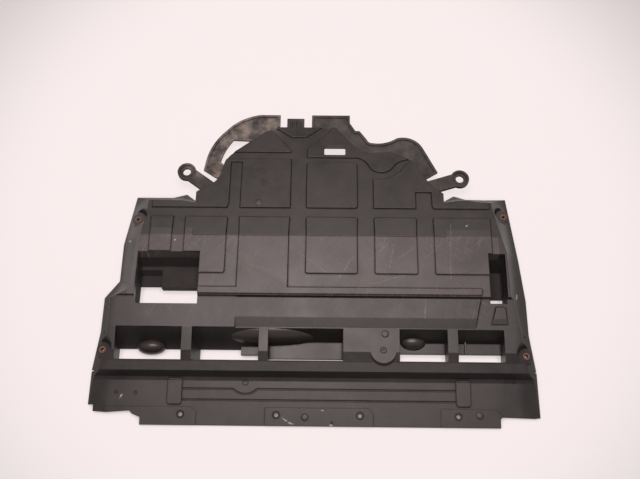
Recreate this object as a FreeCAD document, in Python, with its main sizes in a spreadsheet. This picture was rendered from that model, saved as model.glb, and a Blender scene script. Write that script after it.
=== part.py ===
import FreeCAD, Part
import math
import os
import re
import Sketcher

# Engine undertray, moulded in one piece and lying road side up, with four pressed-in metal inserts.
# X runs across the car, Y points to its rear and Z is up. The origin is the middle of the footprint,
# on the ground. Lengths are in millimetres. A size whose name ends in _x or _y is a distance from
# the middle of the part: the formulas that use it to the left or to the front carry the minus sign.
# Those ending in _x hold at the design width and spread with the real one.

SIZES = {
    # Thickness of the moulding: on top, and level through its sloping sides
    "wall": 3, "side_wall": 4,
    # Footprint, and the width at which the places across are given
    "front_reach": 384, "rear_reach": 384, "half_width": 500, "design_width": 1000,
    # Side section of the panel, from the front lip to the rear edge
    "front_edge_height": 3.5, "lip_height": 15, "band_foot_y": 280, "band_foot_height": 19,
    "sill_front_y": 272, "sill_front_height": 46, "sill_rear_y": 252, "sill_rear_height": 50,
    "rib_crease_y": 230, "rib_crease_height": 57, "front_crease_y": 154, "front_crease_height": 61,
    "step_y": 105, "step_foot_height": 62, "step_rise": 8, "rear_crease_y": 38, "deck_height": 71,
    "dome_y": 332, "dome_height": 54, "dome_skirt": 24,
    # Side flanges, which slope from the ridge round the panel down to the ground
    "ridge_level": 74, "flange_front_y": 262, "left_notch_x": 283, "right_notch_x": 301,
    "notch_y": 150,
    # Dome at the rear of the panel
    "left_foot_x": 271, "left_shoulder_x": 223, "left_brow_x": 199, "left_crown_x": 95,
    "right_foot_x": 275, "right_shoulder_x": 214, "right_saddle_x": 130, "right_brow_x": 81,
    "right_crown_x": 47, "foot_y": 159, "shoulder_y": 217, "brow_y": 261, "saddle_y": 260,
    # Channels between the raised fields, as wide as at the foot of the drafted sides
    "field_rise": 4, "field_draft": 30, "field_foot": 2, "field_corner": 8, "corner_radius": 5, "narrow_channel": 22,
    "wide_channel": 33, "channel_a_x": 317, "channel_b_x": 191, "channel_c_x": 41,
    "channel_d_x": 117, "channel_e_x": 254, "cross_channel_y": 98, "cross_channel": 19,
    "top_channel_y": 240, "top_channel": 9, "low_channel_y": 70, "low_channel": 26,
    "band_end_x": 381, "band_front_y": 176, "apron_end_x": 176, "slot_end_y": 231,
    "notch_end_y": 151, "field_edge_x": 386, "right_field_edge_x": 409, "side_pad_x": 412,
    "side_pad_y": 146, "peak_channel_y": 301, "peak_channel_x": 61,
    "bay_offset": 39, "bay_y": 203, "bay_radius": 30,
    # Air vents behind the sill, with a steep rear wall and in three of them a ledge at its foot
    "vent_rear_y": 178, "vent_front_y": 249, "vent_foot_y": 216, "ledge_front_y": 223,
    "wide_ledge_front_y": 237, "ledge_rear_y": 199, "ledge_height": 15, "duct_bottom": 5,
    "vent_1_outer_x": 440, "vent_1_inner_x": 293, "vent_2_outer_x": 270, "vent_2_inner_x": 122,
    "vent_3_left_x": 101, "vent_3_right_x": 65, "vent_4_inner_x": 190, "vent_4_outer_x": 296,
    "vent_5_inner_x": 319, "vent_5_outer_x": 421, "small_ledge_x": 164, "small_ledge_front_y": 229,
    "cheek_width": 14,
    # Deep pockets beside the panel
    "pocket_rear_y": 2, "pocket_front_y": 125, "left_pocket_outer_x": 406,
    "left_pocket_inner_x": 263, "left_shelf_x": 354, "left_shelf_height": 27,
    "left_shelf_rear_y": 24, "left_shelf_front_y": 76, "low_shelf_height": 13,
    "low_shelf_rear_y": 42, "low_shelf_front_y": 68, "right_pocket_inner_x": 395,
    "right_pocket_outer_x": 434, "right_shelf_height": 12, "right_shelf_rear_y": 28,
    "right_shelf_front_y": 93, "right_pocket_front_y": 118,
    # Rectangular window in the rear field
    "window_left_x": 19, "window_right_x": 70, "window_front_y": 254, "window_rear_y": 280,
    "window_skirt": 14,
    # Low sealing lips round the dome
    "seal_height": 28, "seal_rim": 6, "seal_left_tip_x": 276, "seal_left_tip_y": 228,
    "seal_left_end_x": 92, "seal_band": 32, "seal_right_start_x": 13, "seal_right_corner_x": 82,
    "seal_right_tip_x": 296, "seal_right_tip_y": 226, "slit_left_x": 133, "slit_right_x": 172,
    "slit_y": 268, "slit_width": 7, "tab_left_x": 75, "tab_right_x": 32, "tab_y": 374,
    "tab_rib": 3, "tab_rib_height": 8,
    # Arms with a ring at the end
    "arm_height": 40, "arm_thickness": 9, "arm_width": 33, "ring_diameter": 45, "ring_hole": 19,
    "ring_dish": 34, "dish_depth": 3, "left_ring_x": 315, "left_ring_y": 218,
    "right_ring_x": 347, "right_ring_y": 204, "left_root_x": 252, "left_root_y": 172,
    "right_root_x": 272, "right_root_y": 180,
    # Bolt seats in the flanges and their metal inserts
    "seat_height": 26, "seat_depth": 14, "seat_radius": 13, "recess_radius": 20,
    "recess_draft": 0.25, "insert_diameter": 16.5, "insert_hole": 7, "insert_length": 15,
    "rear_left_bolt_x": 424, "rear_left_bolt_y": 95, "rear_right_bolt_x": 447,
    "rear_right_bolt_y": 109, "front_left_bolt_x": 474, "front_left_bolt_y": 223,
    "front_right_bolt_x": 474, "front_right_bolt_y": 229,
    # Tongue on the bridge between the vents, round at the front and with drafted sides
    "tongue_x": 154, "tongue_y": 226, "tongue_foot": 38, "tongue_draft": 25, "tongue_height": 57,
    "tongue_depth": 20,
    # Front lip: strap bosses, grooves between them, low pads and the trimmed corners
    "strap_left_x": 307, "strap_right_x": 331, "strap_y": 312, "strap_width": 31,
    "strap_length": 55, "groove_width": 5, "groove_depth": 2.2, "rear_groove_y": 306,
    "front_groove_y": 330, "groove_bend_x": 151, "groove_bend": 38, "groove_bend_back": 27,
    "pad_rise": 1.5, "pad_length": 38, "left_corner_step_x": 381, "right_corner_step_x": 411,
    "corner_step": 26,
    # Fixing holes
    "lip_hole": 9, "lip_hole_inset": 23, "lip_hole_a_x": 292, "lip_hole_b_x": 81,
    "lip_hole_c_x": 103, "lip_hole_d_x": 319, "pin_hole": 5, "flange_pin_x": 470,
    "flange_pin_y": 188, "rear_pin_x": 434, "rear_pin_y": 43,
}

# Stations of the side flanges from the front to the rear. Each gives the foot on the ground, as a
# distance from the middle and a place along the car, and then the ridge in the same way.
LEFT_STATIONS = [
    (500, -262, 452, -262), (490, -175, 452, -177), (490, -94, 454, -116), (459, -52, 406, -88),
    (459, 40, 401, 40), (438, 165, 387, 126), (350, 165, 350, 126), (317, 174, 317, 124),
    (296, 158, 296, 122), (283, 150, 283, 120),
]
RIGHT_STATIONS = [
    (500, -262, 454, -262), (490, -175, 448, -175), (490, -94, 437, -100), (481, 4, 436, 4),
    (461, 166, 404, 124), (411, 165, 380, 126), (365, 166, 355, 130), (336, 175, 336, 128),
    (314, 162, 314, 126), (301, 152, 301, 124),
]

# Which way an arc in an outline bulges, for outlines that run anticlockwise
OUT = 1
IN = -1

# How far the cutting solids run past the surfaces that they cut
CLEAR = 20

# The rise of a quarter circle's arc over its chord, for a radius of one
EIGHTH = round(1 - math.sqrt(0.5), 6)

doc = FreeCAD.newDocument("engine_guard")
sheet = doc.addObject("Spreadsheet::Sheet", "sizes")

# The length formula of each prism, for the solids that are drawn in or grown from it
prism_lengths = {}


def fill_sheet():
    """One row for each driving size: its name, then its value under an alias."""
    for row, (alias, value) in enumerate(SIZES.items(), start=1):
        sheet.set(f"A{row}", alias)
        sheet.set(f"B{row}", str(value))
        sheet.setAlias(f"B{row}", alias)
    doc.recompute()


def spread(place):
    """A place across the part, moved outwards as the part gets wider."""
    return f"({place} * 2 * sizes.half_width / sizes.design_width)"


def formula(text):
    """The formula with each size's name pointed at the sheet."""
    def point(word):
        name = word.group()
        if name not in SIZES:
            return name
        return spread("sizes." + name) if name.endswith("_x") else "sizes." + name
    return re.sub(r"(?<![.a-z_])[a-z][a-z0-9_]*", point, str(text))


def number(text):
    """The formula's value, to place geometry near its solved position."""
    return float(sheet.evalExpression(formula(text)))


def rise_to_radius(start, end, rise):
    """Formula for the radius of an arc between two corners that bulges by the rise."""
    run_x = f"(({end[0]}) - ({start[0]}))"
    run_y = f"(({end[1]}) - ({start[1]}))"
    return f"({run_x}^2 + {run_y}^2) / (8 * ({rise})) + ({rise}) / 2"


def arc_through(start, end, radius, side):
    """Arc from start to end with its bulge on the given side of the way round."""
    first = FreeCAD.Vector(number(start[0]), number(start[1]), 0)
    last = FreeCAD.Vector(number(end[0]), number(end[1]), 0)
    chord = last - first
    outward = FreeCAD.Vector(chord.y, -chord.x, 0).normalize() * side
    to_centre = math.sqrt(max(radius**2 - chord.Length**2 / 4, 0))
    centre = (first + last) / 2 - outward * to_centre
    if side == IN:
        first, last = last, first
    angles = [math.atan2(point.y - centre.y, point.x - centre.x) for point in (first, last)]
    if angles[1] < angles[0]:
        angles[1] += 2 * math.pi
    circle = Part.Circle(centre, FreeCAD.Vector(0, 0, 1), radius)
    return Part.ArcOfCircle(circle, angles[0], angles[1])


def draw_outline(sketch, corners):
    """Closed outline. A corner is (x, y), or (x, y, rise, side) where an arc leaves it."""
    ends = []
    for index, corner in enumerate(corners):
        following = corners[(index + 1) % len(corners)]
        if len(corner) == 2:
            start = FreeCAD.Vector(number(corner[0]), number(corner[1]), 0)
            end = FreeCAD.Vector(number(following[0]), number(following[1]), 0)
            sketch.addGeometry(Part.LineSegment(start, end), False)
            ends.append((1, 2))
            continue
        rule = rise_to_radius(corner, following, corner[2])
        edge = sketch.addGeometry(arc_through(corner, following, number(rule), corner[3]), False)
        constraint = sketch.addConstraint(Sketcher.Constraint("Radius", edge, number(rule)))
        sketch.setExpression(f"Constraints[{constraint}]", formula(rule))
        ends.append((1, 2) if corner[3] == OUT else (2, 1))
    for index, corner in enumerate(corners):
        following = (index + 1) % len(corners)
        start = ends[index][0]
        joint = Sketcher.Constraint("Coincident", index, ends[index][1], following, ends[following][0])
        sketch.addConstraint(joint)
        for way, rule in (("DistanceX", corner[0]), ("DistanceY", corner[1])):
            limit = Sketcher.Constraint(way, -1, 1, index, start, number(rule))
            constraint = sketch.addConstraint(limit)
            sketch.setExpression(f"Constraints[{constraint}]", formula(rule))


def new_sketch(body, name, role, corners, offset="0", tilted=False):
    """Outline on one of the body's origin planes, or on a plane along the sloping rear panel."""
    sketch = body.newObject("Sketcher::SketchObject", name)
    plane = [item for item in body.Origin.OriginFeatures if item.Role == role][0]
    sketch.AttachmentSupport = [(plane, "")]
    sketch.MapMode = "FlatFace"
    if tilted:
        backwards = FreeCAD.Rotation(FreeCAD.Vector(-1, 0, 0), 1)
        sketch.AttachmentOffset = FreeCAD.Placement(FreeCAD.Vector(), backwards)
        fall = "atan((deck_height - dome_height) / (dome_y - rear_crease_y))"
        sketch.setExpression("AttachmentOffset.Rotation.Angle", formula(fall))
        sketch.setExpression("AttachmentOffset.Base.y", formula("rear_crease_y"))
        corners = [(corner[0], f"{corner[1]} - rear_crease_y", *corner[2:]) for corner in corners]
    sketch.setExpression("AttachmentOffset.Base.z", formula(offset))
    draw_outline(sketch, corners)
    return sketch


def prism(name, role, corners, start, length, rounding=None, draft=None, tilted=False):
    """Body padded from an outline, drafted inwards and with rounded corner edges if asked."""
    body = doc.addObject("PartDesign::Body", name)
    sketch = new_sketch(body, name + "_outline", role, corners, start, tilted)
    pad = body.newObject("PartDesign::Pad", name + "_pad")
    pad.Profile = sketch
    pad.setExpression("Length", formula(length))
    if draft:
        pad.setExpression("TaperAngle", formula(f"-{draft}"))
    prism_lengths[name] = length
    if rounding:
        doc.recompute()
        along = sketch.Placement.Rotation.multVec(FreeCAD.Vector(0, 0, 1))
        edges = [f"Edge{place}" for place, edge in enumerate(pad.Shape.Edges, start=1)
                 if runs_along(edge, along)]
        fillet = body.newObject("PartDesign::Fillet", name + "_rounding")
        fillet.Base = (pad, edges)
        fillet.setExpression("Radius", formula(rounding))
    return body


def runs_along(edge, direction):
    """Whether the edge is a line that rises along the direction, upright or drafted."""
    if edge.Curve.TypeId != "Part::GeomLine":
        return False
    return abs(edge.tangentAt(edge.FirstParameter).dot(direction)) > 0.5


def upright(name, corners, bottom="0", height="ridge_level + 20", rounding=None, draft=None):
    """Prism that stands on a level outline."""
    return prism(name, "XY_Plane", corners, bottom, height, rounding, draft)


def across(name, corners, left, width):
    """Prism that runs to the right from an outline in the side view."""
    return prism(name, "YZ_Plane", corners, left, width)


def resized(name, body, margin, before="0", after="0"):
    """The body's prism with its outline grown by the margin, and longer at both ends."""
    outline = doc.addObject("Part::Offset2D", name + "_outline")
    outline.Source = body.Group[0]
    outline.Join = "Tangent"
    outline.setExpression("Value", formula(margin))
    solid = doc.addObject("Part::Extrusion", name)
    solid.Base = outline
    solid.DirMode = "Normal"
    solid.Solid = True
    solid.setExpression("LengthFwd", formula(f"{prism_lengths[body.Name]} + {after}"))
    solid.setExpression("LengthRev", formula(before))
    return solid


def joined(name, pieces):
    fuse = doc.addObject("Part::MultiFuse", name)
    fuse.Shapes = pieces
    return fuse


def shared(name, pieces):
    common = doc.addObject("Part::MultiCommon", name)
    common.Shapes = pieces
    return common


def removed(name, base, tool):
    cut = doc.addObject("Part::Cut", name)
    cut.Base = base
    cut.Tool = tool
    return cut


def rectangle(left, front, right, rear):
    """Corners of a level rectangle, anticlockwise from the front left."""
    return [(left, front), (right, front), (right, rear), (left, rear)]


def rounded(left, front, right, rear, radius="field_corner"):
    """Outline of a level rectangle with round corners, anticlockwise from the front left."""
    bulge = f"{radius} * {EIGHTH}"
    return [
        (f"{left} + {radius}", front),
        (f"{right} - {radius}", front, bulge, OUT),
        (right, f"{front} + {radius}"),
        (right, f"{rear} - {radius}", bulge, OUT),
        (f"{right} - {radius}", rear),
        (f"{left} + {radius}", rear, bulge, OUT),
        (left, f"{rear} - {radius}"),
        (left, f"{front} + {radius}", bulge, OUT),
    ]


# Flanged body: a ruled loft from the outline on the ground to the ridge round the panel

def flange_outline(at):
    """Corners of the foot (at = 0) or of the ridge (at = 2) of the flanges."""
    right = [(spread(station[at]), station[at + 1]) for station in RIGHT_STATIONS]
    left = [("-" + spread(station[at]), station[at + 1]) for station in LEFT_STATIONS]
    front = [(left[0][0], "-front_reach"), (right[0][0], "-front_reach")]
    return front + right + left[::-1]


def make_flanged_body():
    """Outer solid as a body's loft, and the same solid drawn in by the side wall."""
    body = doc.addObject("PartDesign::Body", "flanged_body")
    ground = new_sketch(body, "ground_line", "XY_Plane", flange_outline(0))
    ridge = new_sketch(body, "ridge_line", "XY_Plane", flange_outline(2), "ridge_level")
    loft = body.newObject("PartDesign::AdditiveLoft", "flange_loft")
    loft.Profile = ground
    loft.Sections = [ridge]
    loft.Ruled = True
    lines = []
    for sketch in (ground, ridge):
        line = doc.addObject("Part::Offset2D", "inner_" + sketch.Name)
        line.Source = sketch
        line.Join = "Tangent"
        line.setExpression("Value", formula("-side_wall"))
        lines.append(line)
    inside = doc.addObject("Part::Loft", "flanged_inside")
    inside.Sections = lines
    inside.Solid = True
    inside.Ruled = True
    return body, inside


def make_dome():
    """Rear of the panel: upright walls round a curved outline, open below."""
    outline = [
        ("-left_notch_x", "rear_crease_y"),
        ("right_notch_x", "rear_crease_y"),
        ("right_notch_x", "notch_y"),
        ("right_foot_x", "foot_y + 11"),
        ("right_foot_x - 25", "shoulder_y - 11", "6", OUT),
        ("right_shoulder_x", "brow_y - 12", "2", OUT),
        ("right_shoulder_x - 40", "saddle_y + 3"),
        ("right_saddle_x", "saddle_y", "5", IN),
        ("right_brow_x", "brow_y + 30"),
        ("right_crown_x", "dome_y"),
        ("-left_crown_x", "dome_y"),
        ("-left_crown_x - 35", "dome_y - 17"),
        ("-left_brow_x", "brow_y", "6", OUT),
        ("-left_shoulder_x", "shoulder_y"),
        ("-left_shoulder_x - 5", "shoulder_y - 20", "6", IN),
        ("-left_foot_x", "foot_y"),
        ("-left_notch_x", "notch_y"),
    ]
    dome = upright("dome", outline, "dome_skirt", "ridge_level - dome_skirt + 10")
    inside = resized("dome_inside", dome, "-side_wall", before="dome_skirt + 5")
    return dome, inside


# Top of the panel

def make_section(name, front, lift="0"):
    """Everything below a top line, as a long bar across the car, and its inner twin.

    The line's rear half lies the lift above the panel, and its front half is given."""
    rear = [
        ("dome_y + 40", "dome_height"),
        ("dome_y", "dome_height"),
        ("rear_crease_y", "deck_height"),
        ("-step_y", "step_foot_height + step_rise"),
        ("-step_y - 2", "step_foot_height"),
        ("-front_crease_y", "front_crease_height"),
    ]
    top = [(along, f"{height} + {lift}") for along, height in rear] + front
    corners = [("-front_reach - 40", "-30"), ("dome_y + 40", "-30")] + top
    bar = across(name, corners, f"-half_width - {CLEAR}", f"2 * half_width + 2 * {CLEAR}")
    return bar, resized(name + "_inside", bar, "-wall")


def front_line(lift="0"):
    """The panel's top in front of its front crease, from the vents to the lip's edge."""
    points = [
        ("-rib_crease_y", "rib_crease_height"),
        ("-sill_rear_y", "sill_rear_height"),
        ("-sill_front_y", "sill_front_height"),
        ("-band_foot_y", "band_foot_height"),
        ("-band_foot_y - 8", "lip_height"),
        ("-front_reach", "front_edge_height"),
        ("-front_reach - 40", "front_edge_height"),
    ]
    return [(along, f"{height} + {lift}") for along, height in points]


def field_edges():
    """The lines that bound the raised fields, named by the channel that they run along."""
    half = {"a": "narrow_channel / 2", "b": "narrow_channel / 2", "c": "wide_channel / 2",
            "d": "wide_channel / 2", "e": "wide_channel / 2"}
    side = {"a": "-", "b": "-", "c": "-", "d": "", "e": ""}
    edges = {}
    for letter, width in half.items():
        edges[letter + "_left"] = f"{side[letter]}channel_{letter}_x - {width}"
        edges[letter + "_right"] = f"{side[letter]}channel_{letter}_x + {width}"
    edges["front_row"] = "cross_channel_y - cross_channel / 2"
    edges["rear_row"] = "cross_channel_y + cross_channel / 2"
    edges["low_rear"] = "-low_channel_y + low_channel / 2"
    edges["low_front"] = "-low_channel_y - low_channel / 2"
    edges["top_front"] = "top_channel_y - top_channel / 2"
    edges["top_rear"] = "top_channel_y + top_channel / 2"
    return edges


def front_fields(at):
    """Fields of the level part of the panel, each with its corners anticlockwise."""
    return {
        "outer_left": rectangle("-field_edge_x", "-pocket_rear_y - 3", at["a_left"], at["front_row"]),
        "left": rounded(at["a_right"], at["low_rear"], at["b_left"], at["front_row"]),
        "middle": rounded(at["c_right"], at["low_rear"], at["d_left"], at["front_row"]),
        "right": rounded(at["d_right"], at["low_rear"], at["e_left"], at["front_row"]),
        "outer_right": rounded(at["e_right"], at["low_rear"], "right_field_edge_x",
                               at["front_row"]),
        "plateau": [
            ("-left_pocket_inner_x - 20", "-step_y - 1"),
            ("band_end_x - 3", "-step_y - 1"),
            ("band_end_x", f"{at['low_front']} - 5"),
            ("band_end_x - 5", at["low_front"]),
            (at["c_left"], at["low_front"]),
            (at["c_left"], at["front_row"]),
            (at["b_right"], at["front_row"]),
            (at["b_right"], at["low_front"]),
            ("-left_pocket_inner_x - 20", at["low_front"]),
        ],
    }


def low_fields():
    """Fields in front of the step."""
    return {
        "band": [
            ("-apron_end_x - 10", "-band_front_y"),
            ("band_end_x - 21", "-band_front_y"),
            ("band_end_x - 3", "-step_y"),
            ("-apron_end_x - 10", "-step_y"),
        ],
        "side_pad": [
            ("side_pad_x - 20", "-side_pad_y - 22"),
            ("side_pad_x + 20", "-side_pad_y - 22"),
            ("side_pad_x + 18", "-side_pad_y + 22"),
            ("side_pad_x - 8", "-side_pad_y + 22"),
        ],
    }


def rear_fields(at):
    """Fields of the panel's sloping rear, each with its corners anticlockwise."""
    bay = "channel_d_x + bay_offset"
    return {
        "centre": rounded(at["c_right"], at["rear_row"], at["d_left"], at["top_front"]),
        "rear_left": [
            ("-field_edge_x", at["rear_row"]),
            (f"{at['b_left']} - 4", at["rear_row"]),
            (at["b_left"], f"{at['rear_row']} + 14"),
            (at["b_left"], "slot_end_y"),
            (at["b_right"], "slot_end_y"),
            (at["b_right"], at["rear_row"]),
            (at["c_left"], at["rear_row"]),
            (at["c_left"], at["top_rear"]),
            ("-left_shoulder_x - 40", at["top_rear"]),
            ("-field_edge_x", "notch_y"),
        ],
        "triangle": [
            ("-left_brow_x - 40", f"{at['top_rear']} + 14"),
            (at["c_left"], f"{at['top_rear']} + 14"),
            (at["c_left"], f"{at['top_rear']} + 21"),
            ("-left_crown_x - 8", "dome_y - 12"),
            ("-left_crown_x - 40", "dome_y + 20"),
        ],
        "peak": [
            ("-peak_channel_x", "peak_channel_y"),
            ("-peak_channel_x + 36", "peak_channel_y"),
            ("right_crown_x - 29", "dome_y + 2"),
            ("right_crown_x - 29", "dome_y + 20"),
            ("-left_crown_x - 4", "dome_y + 20"),
            ("-left_crown_x - 4", "dome_y - 6"),
        ],
        "rear_right": [
            (at["c_right"], at["top_rear"]),
            (at["d_left"], at["top_rear"], "4", IN),
            (f"{bay} - bay_radius", "bay_y + 17", "16", OUT),
            (f"{bay} + bay_radius", "bay_y + 17", "4", IN),
            (f"{bay} + 2 * bay_radius", f"{at['top_rear']} - 5"),
            ("right_shoulder_x + 50", f"{at['top_rear']} + 10"),
            ("right_shoulder_x + 20", "dome_y"),
            ("right_crown_x", "dome_y + 20"),
            ("right_crown_x - 20", "dome_y - 13"),
            (at["c_right"], f"{at['top_rear']} + 28"),
        ],
        "far_right": [
            (at["d_right"], at["rear_row"]),
            (at["e_left"], at["rear_row"]),
            (at["e_left"], "notch_end_y"),
            (at["e_right"], "notch_end_y"),
            (at["e_right"], f"{at['rear_row']} + 8"),
            (f"{at['e_right']} + 4", at["rear_row"]),
            ("right_field_edge_x", at["rear_row"]),
            ("right_field_edge_x", "notch_y"),
            ("right_foot_x + 30", "shoulder_y"),
            ("right_shoulder_x + 40", "brow_y + 10"),
            ("right_shoulder_x - 2", "shoulder_y + 12", "5", IN),
            (f"{bay} + 8", "bay_y - 12"),
            (at["d_right"], "bay_y - 12"),
        ],
    }


def make_straps():
    """Bosses for straps at both ends of the lip's grooves."""
    front = "-strap_y - strap_length / 2"
    rear = "-strap_y + strap_length / 2"
    half = "strap_width / 2"
    left = rectangle(f"-strap_left_x - {half}", front, f"-strap_left_x + {half}", rear)
    right = rectangle(f"strap_right_x - {half}", front, f"strap_right_x + {half}", rear)
    return joined("straps", [upright("left_strap", left, rounding="corner_radius"),
                             upright("right_strap", right, rounding="corner_radius")])


def make_fields():
    """Raised fields with drafted sides, and the upright hollows below them."""
    at = field_edges()
    height = "field_rise + 2 * field_foot + 3"
    groups = [
        (front_fields(at), "deck_height - 3 - field_foot", False),
        (low_fields(), "front_crease_height - field_foot", False),
        (rear_fields(at), "deck_height - field_foot", True),
    ]
    outside = []
    inside = []
    for fields, level, tilted in groups:
        for name, corners in fields.items():
            field = prism(name + "_field", "XY_Plane", corners, level, height,
                          draft="field_draft", tilted=tilted)
            outside.append(field)
            inside.append(resized(name + "_field_inside", field, "-2 * wall", before="4 * wall"))
    return joined("fields", outside), joined("fields_inside", inside)


def make_apron():
    """Flat field in front of the left pocket, which runs on between the first two vents."""
    apron = upright("apron", [
        ("-field_edge_x - 90", "-rib_crease_y"),
        ("-vent_2_outer_x", "-rib_crease_y"),
        ("-vent_2_outer_x", "-vent_rear_y - 4"),
        ("-apron_end_x", "-vent_rear_y - 4"),
        ("-apron_end_x", "-step_y - 1"),
        ("-field_edge_x - 90", "-step_y - 1"),
    ])
    return apron, resized("apron_inside", apron, "-wall")


def make_forms():
    """The outer form of the moulding and the hollow inside it."""
    flanged, flanged_inside = make_flanged_body()
    dome, dome_inside = make_dome()
    panel, panel_inside = make_section("panel_section", front_line())
    strip_end = [("-band_front_y", "front_crease_height - 1")]
    lifted, lifted_inside = make_section("lifted_section", strip_end + front_line("0.5"),
                                         "field_rise")
    apron_edge = [("-vent_rear_y", "front_crease_height + field_rise")]
    apron_top, apron_top_inside = make_section("apron_section", apron_edge + front_line("0.5"),
                                               "field_rise")
    boss_top = make_section("boss_section", front_line("field_rise"))[0]
    fields, fields_inside = make_fields()
    apron, apron_inside = make_apron()
    bosses = shared("raised_straps", [make_straps(), boss_top])
    raised = shared("raised_fields", [fields, lifted])
    raised_inside = shared("raised_fields_inside", [fields_inside, lifted_inside])
    flat = shared("raised_apron", [apron, apron_top])
    flat_inside = shared("raised_apron_inside", [apron_inside, apron_top_inside])
    pads = shared("raised_pads", [make_lip_pads(), make_section("pad_section",
                                                                front_line("pad_rise"))[0]])
    top = joined("top_form", [panel, raised, bosses, flat, pads])
    top_inside = joined("top_form_inside", [panel_inside, raised_inside, flat_inside])
    plan = joined("plan_form", [flanged, dome])
    plan_inside = joined("plan_form_inside", [flanged_inside, dome_inside])
    outer = shared("outer_form", [plan, top])
    inner = shared("inner_form", [plan_inside, top_inside])
    return outer, inner, panel, dome


def make_lip_pads():
    """Low pads along the lip's front edge, which carry its fixing holes."""
    rear = "-front_reach + pad_length"
    edge = "-front_reach - 5"
    spans = [
        ("-half_width + 40", "-lip_hole_a_x + 21", "-lip_hole_a_x + 34"),
        ("-lip_hole_b_x - 25", "lip_hole_c_x + 18", "lip_hole_c_x + 29"),
        ("lip_hole_d_x - 38", "lip_hole_d_x + 83", "lip_hole_d_x + 95"),
    ]
    pads = []
    for place, (left, right, right_foot) in enumerate(spans, start=1):
        pads.append(upright(f"lip_pad_{place}", [
            (left, edge),
            (right_foot, edge),
            (right_foot, f"{rear} - 10"),
            (right, rear),
            (left, rear),
        ]))
    return joined("lip_pads", pads)


# Rear lips, tab and arms

def make_seals(dome):
    """Low lips that reach back from the dome: a crescent, a tab and a winding band.

    The crescent and the band are dished inside a rim, and three ribs stand on the tab."""
    low = "seal_height - 2 * wall"
    thick = "2 * wall"
    crescent = upright("left_seal", [
        ("-left_brow_x + 30", "brow_y + 20"),
        ("-seal_left_end_x", "dome_y - 30"),
        ("-seal_left_end_x", "rear_reach"),
        ("-seal_left_end_x - 50", "rear_reach", "9", OUT),
        ("-seal_left_tip_x + 50", "seal_left_tip_y + 110", "9", OUT),
        ("-seal_left_tip_x + 3", "seal_left_tip_y + 18"),
        ("-seal_left_tip_x", "seal_left_tip_y"),
        ("-seal_left_tip_x + seal_band", "seal_left_tip_y - 21"),
        ("-left_shoulder_x + 12", "shoulder_y - 4"),
        ("-left_shoulder_x + 12", "shoulder_y + 14"),
        ("-seal_left_tip_x + seal_band + 8", "seal_left_tip_y + 22", "4", IN),
        ("-seal_left_tip_x + 69", "seal_left_tip_y + 84"),
        ("-seal_left_tip_x + 113", "seal_left_tip_y + 82"),
    ], low, thick)
    tab_box = rectangle("-tab_left_x", "dome_y - 20", "-tab_right_x", "tab_y")
    tab = upright("rear_tab", tab_box, low, thick)
    ribs = []
    for place in (1, 2, 3):
        middle = f"-tab_left_x + (tab_left_x - tab_right_x) * {place} / 4"
        rib_box = rectangle(f"{middle} - tab_rib / 2", "dome_y - 20", f"{middle} + tab_rib / 2",
                            "tab_y - 8")
        ribs.append(upright(f"tab_rib_{place}", rib_box, "seal_height - 1", "tab_rib_height + 1"))
    winding = upright("right_seal", [
        ("-seal_right_start_x", "dome_y - 30"),
        ("right_crown_x", "dome_y - 30"),
        ("right_saddle_x", "saddle_y - 20"),
        ("right_shoulder_x - 20", "saddle_y - 20"),
        ("right_foot_x - 35", "shoulder_y - 20"),
        ("seal_right_tip_x - 31", "seal_right_tip_y - 19"),
        ("seal_right_tip_x", "seal_right_tip_y"),
        ("seal_right_tip_x - 35", "seal_right_tip_y + 69", "12", OUT),
        ("seal_right_tip_x - 98", "seal_right_tip_y + 94", "6", IN),
        ("seal_right_tip_x - 158", "seal_right_tip_y + 80", "3", IN),
        ("seal_right_tip_x - 172", "seal_right_tip_y + 90"),
        ("seal_right_tip_x - 190", "seal_right_tip_y + 114"),
        ("seal_right_corner_x + 14", "dome_y + 8"),
        ("seal_right_corner_x", "dome_y + 30"),
        ("seal_right_corner_x", "rear_reach"),
        ("-seal_right_start_x", "rear_reach"),
    ], low, thick)
    dishes = []
    for name, seal in (("left_dish", crescent), ("right_dish", winding)):
        floor = doc.addObject("Part::Extrusion", name + "_sheet")
        floor.Base = resized(name + "_outline", seal, "-seal_rim").Base
        floor.DirMode = "Normal"
        floor.Solid = True
        floor.setExpression("LengthFwd", formula("4 * wall"))
        floor.setExpression("LengthRev", formula("-wall"))
        dishes.append(removed(name, floor, dome))
    return [crescent, tab, winding] + ribs, dishes


def cylinder(name, x, y, bottom, radius, height):
    """Upright cylinder on the given point."""
    solid = doc.addObject("Part::Cylinder", name)
    solid.setExpression("Radius", formula(radius))
    solid.setExpression("Height", formula(height))
    place(solid, x, y, bottom)
    return solid


def cone(name, x, y, bottom, lower, upper, height):
    """Upright cone frustum on the given point."""
    solid = doc.addObject("Part::Cone", name)
    solid.setExpression("Radius1", formula(lower))
    solid.setExpression("Radius2", formula(upper))
    solid.setExpression("Height", formula(height))
    place(solid, x, y, bottom)
    return solid


def place(solid, x, y, z):
    for axis, rule in zip("xyz", (x, y, z)):
        solid.setExpression(f"Placement.Base.{axis}", formula(rule))


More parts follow.
